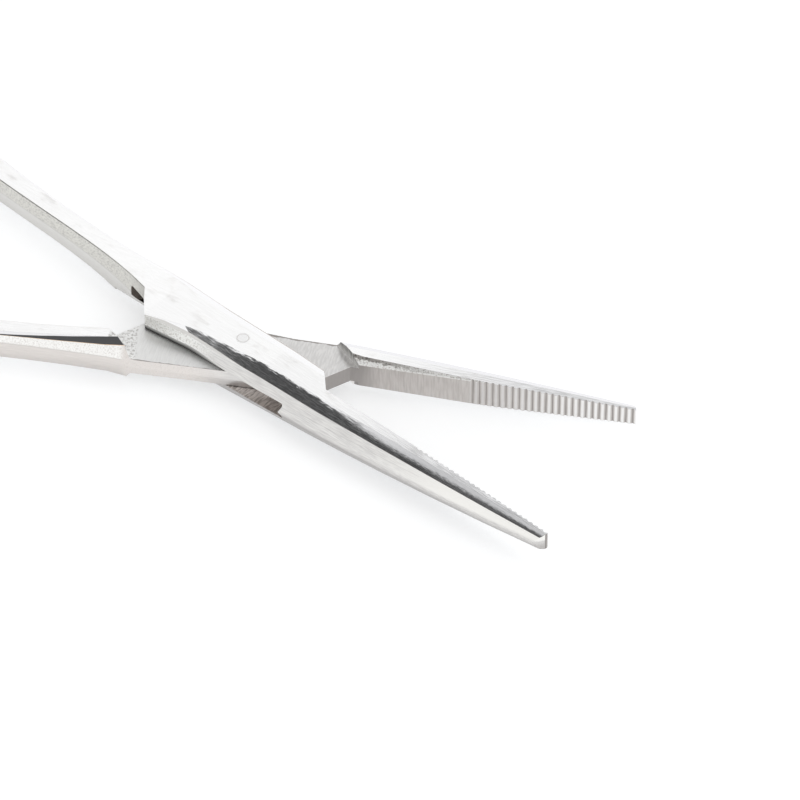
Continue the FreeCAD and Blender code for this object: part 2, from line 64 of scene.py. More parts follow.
def clean_copy(node, name):
    """A copy of a CAD node as one closed skin, with flat faces joined out of their triangles."""
    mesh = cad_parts[node].data.copy()
    mesh.name = name
    skin = bmesh.new()
    skin.from_mesh(mesh)
    bmesh.ops.remove_doubles(skin, verts=skin.verts, dist=MERGE_REACH)
    bmesh.ops.dissolve_limit(skin, angle_limit=SAME_PLANE, verts=skin.verts, edges=skin.edges)
    skin.to_mesh(mesh)
    skin.free()
    mesh.materials.clear()
    piece = bpy.data.objects.new(name, mesh)
    bpy.context.scene.collection.objects.link(piece)
    return piece


def read_faces(piece, side):
    """Centres and normals of a piece's faces, in the arm's own frame and in millimetres."""
    mesh = piece.data
    count = len(mesh.polygons)
    centres = np.empty(count * 3)
    normals = np.empty(count * 3)
    mesh.polygons.foreach_get("center", centres)
    mesh.polygons.foreach_get("normal", normals)
    centres = arm_frame(centres.reshape(-1, 3), side) / MM
    centres[:, 2] -= MID_HEIGHT / MM
    return centres, arm_frame(normals.reshape(-1, 3), side)


def read_points(piece, side):
    """A piece's points in the arm's own frame, in metres."""
    mesh = piece.data
    points = np.empty(len(mesh.vertices) * 3)
    mesh.vertices.foreach_get("co", points)
    return arm_frame(points.reshape(-1, 3), side)


def write_places(piece, side):
    """Keeps each point's place along, across and above the arm, in millimetres, for the steels."""
    places = read_points(piece, side) / MM
    places[:, 2] -= MID_HEIGHT / MM
    layer = piece.data.attributes.new("arm_place", "FLOAT_VECTOR", "POINT")
    layer.data.foreach_set("vector", places.ravel().astype(np.float32))


def points_of(mesh, finishes):
    """The points that belong to the faces with any of these finishes."""
    return {point for face in mesh.polygons if face.material_index in finishes
            for point in face.vertices}


# A width too small to matter, which keeps a bevel's sharp end from dividing by nothing.
NO_WIDTH = 1e-9


def distance_to_line(place, line):
    """How far a point is from a line of points that runs along the arm, straight across it."""
    return math.hypot(*(place[axis] - np.interp(place[0], line[:, 0], line[:, axis])
                        for axis in (1, 2)))


def write_bevel_run(piece, side):
    """Keeps how far down its bevel each corner lies, from 0 at the flat to 1 at the far edge.

    Each bevel runs between its rim and its foot, two edge lines that are read off at the
    corner's own place along the arm. Everything that isn't bevel counts as 1.
    """
    mesh = piece.data
    points = read_points(piece, side)
    _, normals = read_faces(piece, side)
    run = np.ones(len(mesh.loops), dtype=np.float32)
    # Each bevelled finish, then the finishes above its rim and those below its foot.
    for edging, over, under in ((BEVEL, (POLISHED,), (TUMBLED, CHIPPED)),
                                (CHIPPED, (POLISHED, BEVEL), (GRIP, TUMBLED))):
        upper = points_of(mesh, over)
        lower = points_of(mesh, under)
        strips = {}
        for face in mesh.polygons:
            if face.material_index == edging:
                facing = tuple(np.sign(normals[face.index, 1:]))
                strips.setdefault(facing, []).append(face)
        for strip in strips.values():
            corners = {point for face in strip for point in face.vertices}
            rim, foot = (points[sorted(line, key=lambda point: points[point, 0])]
                         for line in (corners & upper, (corners & lower) - upper))
            if len(rim) < 2 or len(foot) < 2:
                continue
            for face in strip:
                for index in face.loop_indices:
                    place = points[mesh.loops[index].vertex_index]
                    from_rim = distance_to_line(place, rim)
                    from_foot = distance_to_line(place, foot)
                    run[index] = from_rim / (from_rim + from_foot + NO_WIDTH)
    mesh.attributes.new("bevel_run", "FLOAT", "CORNER").data.foreach_set("value", run)


TOOTH_FACE_AREA = 4 * MM * MM


def is_tooth(face):
    """Whether a face is one of the small ones that the serrations are made of."""
    return face.material_index == GRIP and face.area < TOOTH_FACE_AREA


def fill(tree, socket, value):
    """Links an output to a socket, or sets the socket to a constant."""
    if isinstance(value, bpy.types.NodeSocket):
        tree.links.new(value, socket)
    else:
        socket.default_value = value


def reckon(tree, operation, first, second=0.0):
    """One step of arithmetic on outputs or numbers."""
    node = tree.nodes.new("ShaderNodeMath")
    node.operation = operation
    fill(tree, node.inputs[0], first)
    fill(tree, node.inputs[1], second)
    return node.outputs["Value"]


def ease(tree, value, start, end, low=0.0, high=1.0):
    """A smooth step from low to high while the value goes from start to end."""
    node = tree.nodes.new("ShaderNodeMapRange")
    node.interpolation_type = "SMOOTHSTEP"
    fill(tree, node.inputs["Value"], value)
    for name, number in (("From Min", start), ("From Max", end),
                         ("To Min", low), ("To Max", high)):
        fill(tree, node.inputs[name], number)
    return node.outputs["Result"]


def blend(tree, mask, first, second, kind="RGBA"):
    """Mixes two colours or vectors by a mask."""
    node = tree.nodes.new("ShaderNodeMix")
    node.data_type = kind
    fill(tree, node.inputs["Factor"], mask)
    fill(tree, node.inputs["A"], first)
    fill(tree, node.inputs["B"], second)
    return node.outputs["Result"]


def attribute(tree, name, output):
    """One of the values kept on the mesh."""
    node = tree.nodes.new("ShaderNodeAttribute")
    node.attribute_name = name
    return node.outputs[output]


def arm_axes(tree):
    """The place along, across and above the arm, in millimetres."""
    node = tree.nodes.new("ShaderNodeSeparateXYZ")
    tree.links.new(attribute(tree, "arm_place", "Vector"), node.inputs["Vector"])
    return node.outputs["X"], node.outputs["Y"], node.outputs["Z"]


def new_group(name, inputs, outputs):
    """A shader node group with named sockets, and the nodes that stand for its two ends."""
    tree = bpy.data.node_groups.new(name, "ShaderNodeTree")
    for label, kind in inputs:
        tree.interface.new_socket(label, in_out="INPUT", socket_type=kind)
    for label, kind in outputs:
        tree.interface.new_socket(label, in_out="OUTPUT", socket_type=kind)
    return tree, tree.nodes.new("NodeGroupInput").outputs, tree.nodes.new("NodeGroupOutput").inputs


def use_group(tree, group, **values):
    """Places a node group in a tree with its own values, and gives back its outputs."""
    node = tree.nodes.new("ShaderNodeGroup")
    node.node_tree = group
    for label, value in values.items():
        fill(tree, node.inputs[label], value)
    return node.outputs


def steel_grain():
    """Noise with so many marks to the millimetre, drawn out along an axis of small stretch."""
    tree, given, results = new_group(
        "steel_grain", (("Place", "NodeSocketVector"), ("Stretch", "NodeSocketVector"),
                        ("Marks", "NodeSocketFloat"), ("Detail", "NodeSocketFloat")),
        (("Height", "NodeSocketFloat"),))
    scaled = tree.nodes.new("ShaderNodeVectorMath")
    scaled.operation = "MULTIPLY"
    tree.links.new(given["Place"], scaled.inputs[0])
    tree.links.new(given["Stretch"], scaled.inputs[1])
    noise = tree.nodes.new("ShaderNodeTexNoise")
    tree.links.new(scaled.outputs["Vector"], noise.inputs["Vector"])
    tree.links.new(given["Marks"], noise.inputs["Scale"])
    tree.links.new(given["Detail"], noise.inputs["Detail"])
    tree.links.new(noise.outputs["Fac"], results["Height"])
    return tree


STEEL_GRAIN = steel_grain()


def grain(tree, stretch, marks, detail=3.0):
    """The steel grain with a material's own stretch, marks and detail."""
    return use_group(tree, STEEL_GRAIN, Place=attribute(tree, "arm_place", "Vector"),
                     Stretch=stretch, Marks=marks, Detail=detail)["Height"]


def rounded_edges(tree, radius):
    """The surface's normal with its corners eased over by a small radius."""
    node = tree.nodes.new("ShaderNodeBevel")
    node.samples = 6
    node.inputs["Radius"].default_value = radius
    return node.outputs["Normal"]


def new_material(name, metal=1.0):
    """A material with an empty node tree but for its Principled shader and its output."""
    material = bpy.data.materials.new(name)
    material.use_nodes = True
    shader = material.node_tree.nodes["Principled BSDF"]
    shader.inputs["Metallic"].default_value = metal
    return material, material.node_tree, shader


BRUSH = (0.05, 1, 1)
EVEN = (1, 1, 1)
UPRIGHT = (1, 1, 0.1)
EDGE_RADIUS = 0.07 * MM


def finish_steel(tree, shader, colour, rough, height, depth, normal=None):
    """Connects a steel's colour, its gloss and a fine relief over a normal or rounded edges."""
    fill(tree, shader.inputs["Base Color"], colour)
    fill(tree, shader.inputs["Roughness"], rough)
    relief = tree.nodes.new("ShaderNodeBump")
    relief.inputs["Distance"].default_value = depth
    fill(tree, relief.inputs["Height"], height)
    if normal is None:
        normal = rounded_edges(tree, EDGE_RADIUS)
    fill(tree, relief.inputs["Normal"], normal)
    tree.links.new(relief.outputs["Normal"], shader.inputs["Normal"])


# Places along the arm, in millimetres ahead of the rivet.
LOCK_REAR = -12.6
JAW_ROOT = 12


def polished_face():
    """Ground and buffed flats, near white, with faint smudges and brush marks.

    Towards the jaw's tip they fall away a little, and their colour is painted greyer there as a
    painted reflection of a greyer part of the room.
    """
    material, tree, shader = new_material("polished_face")
    along, _, _ = arm_axes(tree)
    brush = ease(tree, grain(tree, BRUSH, marks=9), 0.3, 0.7)
    smudge = ease(tree, grain(tree, (0.4, 0.8, 1), marks=0.8), 0.5, 0.8)
    clean = blend(tree, brush, (0.96, 0.96, 0.96, 1), (1, 1, 1, 1))
    dulled = blend(tree, reckon(tree, "MULTIPLY", smudge, 0.3), clean, (0.82, 0.79, 0.76, 1))
    # Painted reflection: the greyer tone that the flats take on towards the tip.
    greyer = blend(tree, brush, (0.5, 0.5, 0.51, 1), (0.8, 0.8, 0.81, 1))
    tipward_painted_reflection = ease(tree, along, JAW_ROOT, 36, high=0.85)
    colour = blend(tree, tipward_painted_reflection, dulled, greyer)
    rough = ease(tree, smudge, 0, 1, low=0.14, high=0.28)
    finish_steel(tree, shader, colour, rough, brush, depth=1.5e-6,
                 normal=rounded_edges(tree, EDGE_RADIUS / 2))
    return material


def laid_flat():
    """A bevel's normal, turned upright as far as its flatness says."""
    tree, given, results = new_group(
        "laid_flat", (("Normal", "NodeSocketVector"), ("Flatness", "NodeSocketFloat")),
        (("Normal", "NodeSocketVector"),))
    parts = tree.nodes.new("ShaderNodeSeparateXYZ")
    tree.links.new(given["Normal"], parts.inputs["Vector"])
    upright = tree.nodes.new("ShaderNodeCombineXYZ")
    tree.links.new(reckon(tree, "SIGN", parts.outputs["Z"]), upright.inputs["Z"])
    normal = blend(tree, given["Flatness"], given["Normal"], upright.outputs["Vector"], "VECTOR")
    tree.links.new(normal, results["Normal"])
    return tree


LAID_FLAT = laid_flat()


def rolled_edge():
    """How flat a bevel still is, from its run: torn near the lock, and rolled over at the tip."""
    tree, given, results = new_group(
        "rolled_edge", (("Run", "NodeSocketFloat"), ("Along", "NodeSocketFloat"),
                        ("Streak", "NodeSocketFloat"), ("Fine", "NodeSocketFloat")),
        (("Flatness", "NodeSocketFloat"),))
    run, fine = given["Run"], given["Fine"]
    torn = reckon(tree, "ADD", reckon(tree, "MULTIPLY", given["Streak"], 0.7),
                  reckon(tree, "MULTIPLY", fine, 0.6))
    broken = ease(tree, reckon(tree, "SUBTRACT", run, torn), -0.24, -0.74)
    streaked = reckon(tree, "SUBTRACT", run, reckon(tree, "MULTIPLY", fine, 0.7))
    rolled = ease(tree, streaked, -0.15, 0.75, low=0.95, high=0.35)
    flatness = blend(tree, ease(tree, given["Along"], 6, 24), broken, rolled, "FLOAT")
    tree.links.new(flatness, results["Flatness"])
    return tree


ROLLED_EDGE = rolled_edge()
STREAK = (0.12, 1, 1)
# The bevel starts at a slanting line, given by its normal and its distance from the rivet.
BEVEL_START_NORMAL = (0.358, 0.934)
BEVEL_START = -4.72


def worn_start(tree, along, across, run):
    """Where the box's bevel is rolled over: short of its start, and at its foot by the rivet."""
    line = reckon(tree, "ADD", reckon(tree, "MULTIPLY", along, BEVEL_START_NORMAL[0]),
                  reckon(tree, "MULTIPLY", across, BEVEL_START_NORMAL[1]))
    blunt = ease(tree, line, BEVEL_START, BEVEL_START - 0.13)
    foot_line = ease(tree, along, -7, 6, low=0.62, high=1.05)
    foot = ease(tree, reckon(tree, "SUBTRACT", run, foot_line), -0.04, 0.02)
    foot = reckon(tree, "MULTIPLY", foot, reckon(tree, "LESS_THAN", across, 0))
    worn = reckon(tree, "MAXIMUM", blunt, foot)
    on_plate = reckon(tree, "GREATER_THAN", along, LOCK_REAR)
    return reckon(tree, "MULTIPLY", worn, on_plate), foot


def box_bevel():
    """The box half's bevels, buffed along the arm, that mirror the dark side of the room.

    They start as a point behind the rivet. The dark fades into glints there and towards
    the tip. On the far side only the rim is bent, with a darker foot.
    """
    material, tree, shader = new_material("box_bevel")
    along, across, _ = arm_axes(tree)
    streak = grain(tree, STREAK, marks=5)
    run = attribute(tree, "bevel_run", "Fac")
    worn, foot = worn_start(tree, along, across, run)
    rolled = use_group(tree, ROLLED_EDGE, Run=run, Along=along, Streak=streak,
                       Fine=grain(tree, STREAK, marks=13))["Flatness"]
    glint = ease(tree, grain(tree, (0.08, 1, 1), marks=15), 0.35, 0.7, high=0.2)
    glint = reckon(tree, "ADD", glint, ease(tree, along, 6, -4, low=0.38, high=0.58))
    flat = reckon(tree, "MAXIMUM", reckon(tree, "MAXIMUM", rolled, worn), glint)
    flat = reckon(tree, "MAXIMUM", flat, ease(tree, along, 16, 34, high=0.64))
    far = reckon(tree, "GREATER_THAN", across, 0)
    flat = blend(tree, far, flat, ease(tree, run, 0.15, 0), "FLOAT")
    scratch = ease(tree, grain(tree, STREAK, marks=8), 0.35, 0.65)
    dim = blend(tree, scratch, (0.6, 0.6, 0.61, 1), (0.98, 0.98, 0.99, 1))
    # Painted reflection: where the bevel lies flat, its colour turns greyer towards the tip.
    bright = blend(tree, ease(tree, along, 10, 30), (0.97, 0.97, 0.98, 1), (0.6, 0.6, 0.61, 1))
    lit = reckon(tree, "MAXIMUM", ease(tree, flat, 0.5, 0.8), far)
    colour = blend(tree, lit, dim, bright)
    colour = blend(tree, foot, colour, (0.68, 0.67, 0.65, 1))
    far_foot = reckon(tree, "MULTIPLY", ease(tree, run, 0.84, 0.92), far)
    colour = blend(tree, far_foot, colour, (0.62, 0.57, 0.54, 1))
    normal = use_group(tree, LAID_FLAT, Normal=rounded_edges(tree, EDGE_RADIUS), Flatness=flat)
    finish_steel(tree, shader, colour, 0.15, streak, depth=2e-6, normal=normal["Normal"])
    return material


# Heights from the arm's mid-plane, in millimetres.
SLOT_CEILING = 1.05
LOW_EDGE = -2.4


def painted_shade_under_plate(tree, along, across, above):
    """Where the side's lower rim, by the slot behind the rivet, turns in: painted shade, darker
    the deeper under the rim.
    """
    height = reckon(tree, "ABSOLUTE", above)
    rise = reckon(tree, "MULTIPLY", ease(tree, along, LOCK_REAR - 0.1, LOCK_REAR + 1.4),
                  ease(tree, along, 1.6, -4.5))
    rim = reckon(tree, "ADD", reckon(tree, "MULTIPLY", rise, 0.45), SLOT_CEILING)
    depth = reckon(tree, "SUBTRACT", rim, height)
    dark = ease(tree, depth, -0.04, 0.06)
    plate = reckon(tree, "MULTIPLY", reckon(tree, "GREATER_THAN", height, SLOT_CEILING - 0.02),
                   reckon(tree, "LESS_THAN", across, -2.5))
    plate = reckon(tree, "MULTIPLY", plate, reckon(tree, "GREATER_THAN", along, LOCK_REAR - 0.1))
    # Painted shade: mid grey at the rim's edge, down to near black under it.
    tone = blend(tree, ease(tree, depth, 0, 0.45), (0.5, 0.5, 0.49, 1), (0.07, 0.07, 0.07, 1))
    return reckon(tree, "MULTIPLY", dark, plate), tone


def jaw_satin(tree, along, above, streaks):
    """The jaw's sides, marked lengthwise, with painted shade underneath and a painted highlight
    towards the tip.
    """
    satin = blend(tree, streaks, (0.64, 0.63, 0.62, 1), (0.82, 0.81, 0.79, 1))
    # Painted shade: darker low down on the side.
    painted_low_shade = ease(tree, above, 0.5, -0.7, high=0.8)
    satin = blend(tree, painted_low_shade, satin, (0.46, 0.44, 0.43, 1))
    # Painted highlight on the side's upper part towards the tip.
    painted_highlight = reckon(tree, "MULTIPLY", ease(tree, along, 18, 34), ease(tree, above, 0.15, 0.5))
    return blend(tree, painted_highlight, satin, (0.9, 0.89, 0.86, 1)), painted_highlight


def shank_satin(tree, axes, streaks, pits, shank, lower, crease, heel_shade):
    """The shank's sides, pitted above the crease and smooth below it, with a dark lip between.

    The side is painted darker low down and, by the heel_shade share, towards the lock,
    both as painted shade. It turns plain grey ahead of the ratchet.
    """
    along, _, above = axes
    dulled = tuple(0.93 * part for part in lower)
    smooth = blend(tree, streaks, (*dulled, 1), (*lower, 1))
    lip = reckon(tree, "ABSOLUTE", reckon(tree, "SUBTRACT", above, crease))
    smooth = blend(tree, ease(tree, lip, 0.16, 0.04, high=0.3), smooth, (0.3, 0.29, 0.28, 1))
    pitted = blend(tree, pits, (*shank[0], 1), (*shank[1], 1))
    upper = ease(tree, above, crease - 0.12, crease + 0.12)
    # Painted shade: darker towards the lower edge.
    painted_low_shade = ease(tree, above, crease, LOW_EDGE, high=0.25)
    satin = blend(tree, painted_low_shade, blend(tree, upper, smooth, pitted), (0.4, 0.37, 0.35, 1))
    # Painted shade: darker towards the lock, as much as the arm's share says.
    painted_shade_by_lock = ease(tree, along, -18, LOCK_REAR - 0.9, high=heel_shade)
    satin = blend(tree, painted_shade_by_lock, satin, (0.25, 0.24, 0.22, 1))
    return blend(tree, ease(tree, along, -38, -48), satin, (0.66, 0.65, 0.64, 1))


def tumbled_side(name, shank, lock, lower, crease, heel_shade):
    """The sides of the forging, satin from the tumbling barrel.

    The shank and the lock each sparkle with small pits between a dark and a light tone.
    The shank is smoother below its crease, and the jaw is marked lengthwise.
    """
    material, tree, shader = new_material(name)
    axes = arm_axes(tree)
    along, across, above = axes
    pits = ease(tree, grain(tree, EVEN, marks=6.5, detail=2.0), 0.3, 0.55)
    streaks = ease(tree, grain(tree, (0.04, 1, 1), marks=12), 0.3, 0.7)
    behind = shank_satin(tree, axes, streaks, pits, shank, lower, crease, heel_shade)
    beside = blend(tree, pits, (*lock[0], 1), (*lock[1], 1))
    ahead, painted_highlight = jaw_satin(tree, along, above, streaks)
    front = blend(tree, ease(tree, along, -6, 1), beside, ahead)
    colour = blend(tree, ease(tree, along, LOCK_REAR - 0.8, LOCK_REAR + 0.1), behind, front)
    # The lower rim by the slot takes its painted shade here.
    under, tone = painted_shade_under_plate(tree, along, across, above)
    colour = blend(tree, under, colour, tone)
    rough = ease(tree, painted_highlight, 0, 1, low=0.42, high=0.3)
    finish_steel(tree, shader, colour, rough, pits, depth=8e-6)
    return material


def ground_grip():
    """The grip faces, ground across, and their serrations, with painted shade in the valleys and
    ridges that are worn bright and also carry a painted highlight.

    The tongue jaw's end walls have it too, all but the upper step, and the lower step
    is painted lighter as a painted highlight. Towards its root the face is painted darker as
    painted shade.
    """
    material, tree, shader = new_material("ground_grip")
    along, across, _ = arm_axes(tree)
    marks = ease(tree, grain(tree, UPRIGHT, marks=5), 0.3, 0.7)
    face = blend(tree, marks, (0.5, 0.47, 0.45, 1), (0.6, 0.57, 0.55, 1))
    # Painted shade: the face darkens towards its root by the lock.
    face = blend(tree, ease(tree, along, 16, 13, high=0.8), face, (0.34, 0.32, 0.31, 1))
    ridge = ease(tree, across, -0.13, -0.05)
    # Painted shade in the serrations' valleys.
    valley_shade = ease(tree, across, -0.15, -0.23)
    tooth = blend(tree, valley_shade, face, (0.3, 0.28, 0.27, 1))
    # Ridges worn bright, with a painted highlight that grows towards the tip.
    worn = blend(tree, ease(tree, along, 24, 40), (0.62, 0.6, 0.59, 1), (0.88, 0.87, 0.86, 1))
    ridge = reckon(tree, "MULTIPLY", ridge, attribute(tree, "serrated", "Fac"))
    colour = blend(tree, ridge, tooth, worn)
    # Painted highlight: the lower step is lighter.
    lower_step_highlight = ease(tree, across, -0.6, -0.9)
    colour = blend(tree, lower_step_highlight, colour, (1, 0.98, 0.96, 1))
    finish_steel(tree, shader, colour, 0.38, marks, depth=3e-6)
    return material


# The recess's rear edge slants across the arm, and the tongue tapers a little forwards.
RECESS_SLANT = 0.2
RECESS_REAR = -11.7
NEAR_RIM = 3.68
NEAR_RIM_TAPER = 0.037
FAR_RIM = 3.3


def milled_steel():
    """The tongue, left as milled, in a light even grey with a dark ragged burr along its rims.

    In the recess's rounded rear corner the cutter chattered and left dark nicks.
    """
    material, tree, shader = new_material("milled_steel")
    along, across, _ = arm_axes(tree)
    marks = ease(tree, grain(tree, (1, 0.12, 1), marks=6), 0.3, 0.7)
    colour = blend(tree, marks, (0.9, 0.9, 0.89, 1), (0.98, 0.98, 0.97, 1))
    scuffs = ease(tree, grain(tree, (1, 0.2, 1), marks=4), 0.4, 0.65)
    greyer = blend(tree, scuffs, (0.79, 0.78, 0.77, 1), (0.9, 0.89, 0.88, 1))
    colour = blend(tree, ease(tree, along, -2, 6), colour, greyer)
    nicks = grain(tree, (1, 1, 0.6), marks=3.2)
    ahead = reckon(tree, "SUBTRACT", along, reckon(tree, "MULTIPLY", across, RECESS_SLANT))
    ahead = reckon(tree, "ADD", ahead, reckon(tree, "MULTIPLY", nicks, 0.8))
    coarse = ease(tree, ahead, RECESS_REAR, RECESS_REAR - 0.3)
    nicks = ease(tree, nicks, 0.34, 0.56)
    chattered = blend(tree, nicks, (0.66, 0.65, 0.63, 1), (1, 1, 0.99, 1))
    colour = blend(tree, coarse, colour, chattered)
    burr = reckon(tree, "MULTIPLY", grain(tree, (0.6, 1, 1), marks=1.6), 0.5)
    near = reckon(tree, "SUBTRACT", NEAR_RIM, reckon(tree, "MULTIPLY", along, NEAR_RIM_TAPER))
    near = reckon(tree, "SUBTRACT", reckon(tree, "ADD", across, burr), near)
    near = ease(tree, near, 0.14, 0.22)
    far = ease(tree, reckon(tree, "SUBTRACT", burr, across), FAR_RIM, FAR_RIM + 0.12)
    worn = reckon(tree, "MAXIMUM", near, far)
    colour = blend(tree, reckon(tree, "MULTIPLY", worn, 0.75), colour, (0.22, 0.19, 0.17, 1))
    pitted = reckon(tree, "MULTIPLY", reckon(tree, "MULTIPLY", coarse, nicks), 12)
    finish_steel(tree, shader, colour, 0.36, reckon(tree, "ADD", marks, pitted), depth=1e-6)
    return material


def milled_step():
    """The step where the jaw leaves the tongue, with a few tool marks, in a dark painted shade and
    with a painted highlight at its foot.
    """
    material, tree, shader = new_material("milled_step")
    _, _, above = arm_axes(tree)
    marks = ease(tree, grain(tree, (1, 1, 0.25), marks=2.6), 0.45, 0.62)
    # Painted shade: the step's dark tone, with lighter tool marks.
    colour = blend(tree, marks, (0.13, 0.125, 0.12, 1), (0.58, 0.57, 0.55, 1))
    # Painted highlight: the light foot of the step.
    foot = ease(tree, above, 2.5, 1.2, high=0.8)
    colour = blend(tree, foot, colour, (1, 0.99, 0.97, 1))
    finish_steel(tree, shader, colour, 0.4, marks, depth=1e-5)
    return material


def chipped_corner():
    """The grip face's ground corners, coarse and sparkling, with a dark ragged upper rim."""
    material, tree, shader = new_material("chipped_corner")
    along, _, _ = arm_axes(tree)
    chips = ease(tree, grain(tree, EVEN, marks=5.5, detail=2.0), 0.32, 0.52)
    colour = blend(tree, chips, (0.66, 0.63, 0.6, 1), (1, 1, 0.98, 1))
    ragged = grain(tree, (0.6, 1, 1), marks=3.2)
    rim = reckon(tree, "ADD", attribute(tree, "bevel_run", "Fac"), ragged)
    rim = ease(tree, rim, 1.02, 0.86)
    mottled = blend(tree, chips, (0.13, 0.12, 0.11, 1), (0.42, 0.4, 0.38, 1))
    fading = ease(tree, along, 14, 23, low=1.0, high=0.2)
    colour = blend(tree, reckon(tree, "MULTIPLY", rim, fading), colour, mottled)
    finish_steel(tree, shader, colour, 0.4, chips, depth=8e-6)
    return material


def slot_steel():
    """The inside of the slot, hatched by the mill, in a brownish grey that is painted near black
    towards its rear as painted shade.
    """
    material, tree, shader = new_material("slot_steel")
    along, _, _ = arm_axes(tree)
    marks = ease(tree, grain(tree, (1, 0.15, 1), marks=7), 0.35, 0.65)
    colour = blend(tree, marks, (0.5, 0.46, 0.44, 1), (0.95, 0.9, 0.87, 1))
    # Painted shade: near black deep in the slot's rear.
    colour = blend(tree, ease(tree, along, -12, -13), colour, (0.1, 0.085, 0.075, 1))
    finish_steel(tree, shader, colour, 0.42, marks, depth=8e-6)
    return material


SHARED_STEELS = [polished_face(), ground_grip(), milled_steel(), slot_steel(), milled_step(),
                 chipped_corner()]
POLISHED, GRIP, MILLED, SLOT, STEP, CHIPPED, BEVEL, TUMBLED = range(len(SHARED_STEELS) + 2)

# A face's lean is the upright part of its normal. Places are millimetres from the rivet.
FLAT_LEAN = 0.985
BEVEL_LEAN = 0.85
RING_CENTRE = (-79.6, 15.6)
RING_REACH = 16.6
INNER_BEVELS = -14
LENGTHWISE_BEVELS = -20
GRIP_ROOT = 11
FIRST_TOOTH = 24


def sort_faces(piece, side, lock_zone):
    """Gives each face the finish that its place and its direction have on the real arm.

    Level faces are flats, leaning ones bevels, and the rest sides. Behind the lock, the
    inner bevels and those that face along the arm are tumbled like the sides.
    """
    centre, normal = read_faces(piece, side)
    x, y, z = centre.T
    lean = np.abs(normal[:, 2])
    finish = np.full(len(x), TUMBLED)
    bevel = lean > BEVEL_LEAN
    inner = bevel & (x < INNER_BEVELS) & (normal[:, 1] < 0)
    lengthwise = bevel & (x < LENGTHWISE_BEVELS) & (np.abs(normal[:, 0]) > np.abs(normal[:, 1]))
    finish[bevel & ~inner & ~lengthwise] = BEVEL
    finish[lean > FLAT_LEAN] = POLISHED
    ring = np.hypot(x - RING_CENTRE[0], y - RING_CENTRE[1]) < RING_REACH
    finish[ring] = TUMBLED
    grip = (np.abs(normal[:, 1]) > 0.999) & (np.abs(y) < 0.1) & (x > GRIP_ROOT)
    teeth = (lean < 0.2) & (np.abs(y) < 0.4) & (x > FIRST_TOOTH)
    finish[grip | teeth] = GRIP
    finish = lock_zone(finish, x, y, z, normal)
    piece.data.polygons.foreach_set("material_index", finish.astype(np.int32))


SMOOTH_TURN = math.radians(12)


def soften_edges(piece):
    """Smooth shading within each finish, and across the worn ridges of the serrations."""
    mesh = piece.data
    mesh.shade_smooth()
    mesh.set_sharp_from_angle(angle=SMOOTH_TURN)
    toothed = [float(is_tooth(face)) for face in mesh.polygons]
    mesh.attributes.new("serrated", "FLOAT", "FACE").data.foreach_set("value", toothed)
    beside = {}
    for face in mesh.polygons:
        for key in face.edge_keys:
            beside.setdefault(key, []).append(face)
    for edge in mesh.edges:
        faces = beside[edge.key]
        finishes = {face.material_index for face in faces}
        if len(finishes) > 1:
            edge.use_edge_sharp = True
        elif all(toothed[face.index] for face in faces):
            edge.use_edge_sharp = False


def finish_arm(piece, node, body, side, lock_zone, steels):
    """Materials, places for the grain, smooth shading, and the arm's place on its body."""
    for material in SHARED_STEELS + steels:
        piece.data.materials.append(material)
    sort_faces(piece, side, lock_zone)
    write_places(piece, side)
    write_bevel_run(piece, side)
    soften_edges(piece)
    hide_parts(node)
    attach(piece, body)


# The slot and the tongue lie within this height of the arm's mid-plane. All in millimetres.
MIDDLE_LAYER = 1.2
SLOT_REAR, SLOT_FRONT = -19, 14
SLOT_REACH = 4.6


def box_zone(finish, x, y, z, normal):
    """The slot's faces and ends."""
    inside = (np.abs(z) < MIDDLE_LAYER) & (np.abs(y) < SLOT_REACH)
    inside &= (x > SLOT_REAR) & (x < SLOT_FRONT)
    slot = inside & ((np.abs(normal[:, 2]) > 0.9) | (normal[:, 0] * normal[:, 1] < -0.1))
    finish[slot] = SLOT
    return finish


box_half = clean_copy("box_half", "box_half_skin")
# The same steel as the tongue side: its darker shank and brighter lock tones are painted shade and
# painted light.
box_side_painted_light = tumbled_side("box_side_painted_light", shank=((0.46, 0.45, 0.43), (0.74, 0.73, 0.69)),
                        lock=((0.68, 0.67, 0.64), (1.0, 1.0, 0.98)), lower=(0.76, 0.75, 0.73),
                        crease=0.05, heel_shade=0.35)
finish_arm(box_half, "box_half", "box_arm", 1, box_zone, [box_bevel(), box_side_painted_light])

# The tongue half: the second forged arm. It is thinned from both sides to a tongue
# that runs through the box's slot, and its jaw's grip face has ground bevels.

RECESS_FILLET = 1.2 * MM
# Half the tongue's thickness and the recess's rear part, in millimetres.
TONGUE_HALF = 1
REAR_PART = -9


def fillet_recess(piece, side):
    """Rounds the inner corner between the tongue's floor and the step behind it, as milled."""
    mesh = piece.data
    centre, normal = read_faces(piece, side)
    floor = (np.abs(np.abs(centre[:, 2]) - TONGUE_HALF) < 0.02) & (np.abs(normal[:, 2]) > 0.99)
    step = (np.abs(normal[:, 2]) < 0.1) & (normal[:, 0] * normal[:, 1] < -0.3)
    step &= centre[:, 0] < REAR_PART
    skin = bmesh.new()
    skin.from_mesh(mesh)
    skin.faces.ensure_lookup_table()
    corner = [edge for edge in skin.edges if len(edge.link_faces) == 2
              and any(floor[face.index] for face in edge.link_faces)
              and any(step[face.index] for face in edge.link_faces)]
    bmesh.ops.bevel(skin, geom=corner, offset=RECESS_FILLET, offset_type="OFFSET", segments=5,
                    profile=0.5, affect="EDGES")
    skin.to_mesh(mesh)
    skin.free()


# Places and heights on the tongue half, in millimetres, and its rear wall's direction.
LOCK_REACH = 20
REAR_WALL_NORMAL = (0.818, -0.575)
REAR_WALL_BACK = 11.73
FILLET_SPAN = 1.6
FLAT_HEIGHT = 2.9
FRONT_WALL = 9
GRIP_SIDE = -1.2


